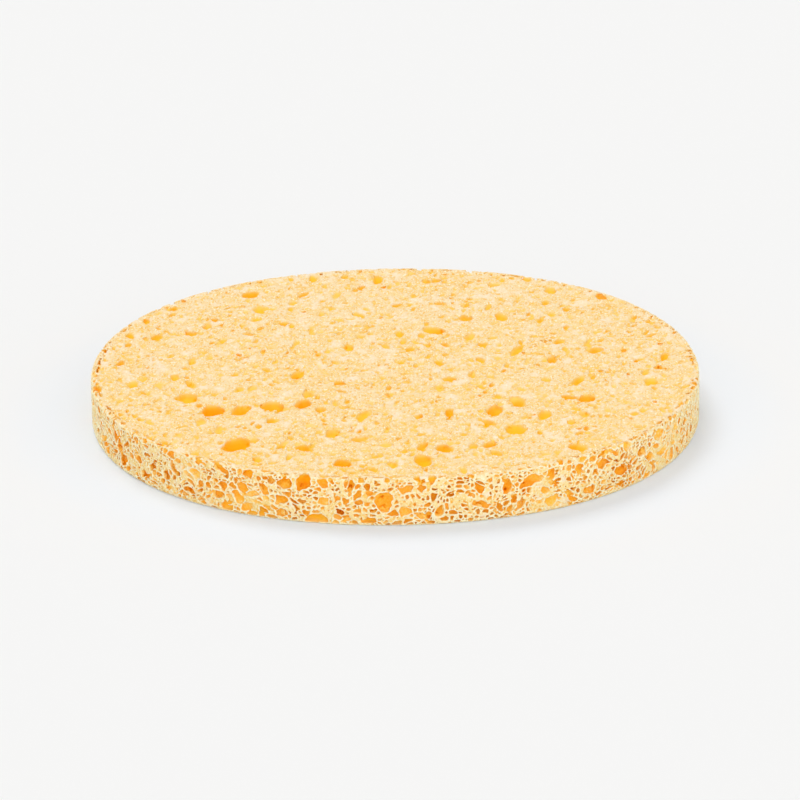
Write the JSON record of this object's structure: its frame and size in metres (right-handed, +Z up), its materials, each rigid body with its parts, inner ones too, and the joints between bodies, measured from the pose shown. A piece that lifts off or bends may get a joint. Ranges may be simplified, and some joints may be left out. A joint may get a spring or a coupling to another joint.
{
  "type": "cellulose facial sponge",
  "caption": "Thin round facial sponge of open-pored cellulose, die-cut from a flat sheet, for cleansing the skin and wiping off make-up.",
  "frame": {"origin": "centre of the underside, on the surface the sponge lies on", "axes": "+Z up through the thin way of the disc; -Y towards the side that the picture shows; +X to its right"},
  "size_m": [0.076, 0.0748, 0.0061],
  "materials": {
    "cellulose": "matte"
  },
  "bodies": {
    "root": {"sponge_disc": "cellulose"}
  },
  "joints": []
}
